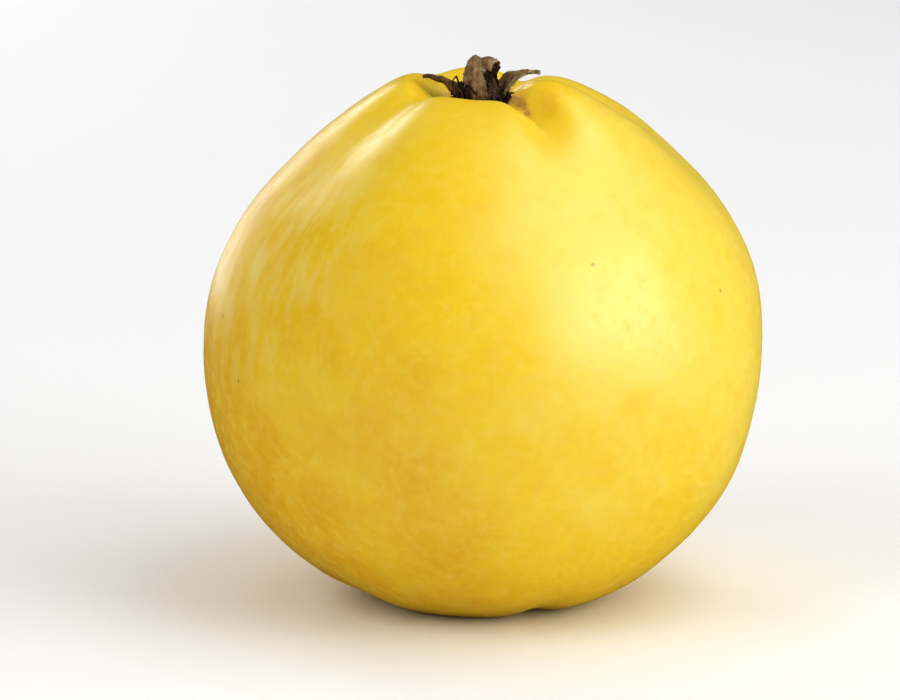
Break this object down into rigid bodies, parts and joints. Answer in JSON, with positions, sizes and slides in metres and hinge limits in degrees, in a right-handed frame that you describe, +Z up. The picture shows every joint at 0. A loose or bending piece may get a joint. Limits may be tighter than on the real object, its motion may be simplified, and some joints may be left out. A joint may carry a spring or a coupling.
{
  "type": "quince",
  "caption": "Whole ripe quince with a ribbed crown, dried sepals, withered stamens and a short woody stalk underneath, standing upright.",
  "frame": {"origin": "on the floor, under the middle of the fruit's width and depth", "axes": "+Z up, from the stalk to the calyx; -Y is the side that the picture shows"},
  "size_m": [0.0848, 0.0846, 0.0831],
  "materials": {
    "skin": "satin",
    "sepals": "matte",
    "stamens": "matte",
    "stalk": "matte"
  },
  "bodies": {
    "root": {"fruit": "skin", "dried_sepals": "sepals", "withered_stamens": "stamens", "stalk_stub": "stalk"}
  },
  "joints": []
}
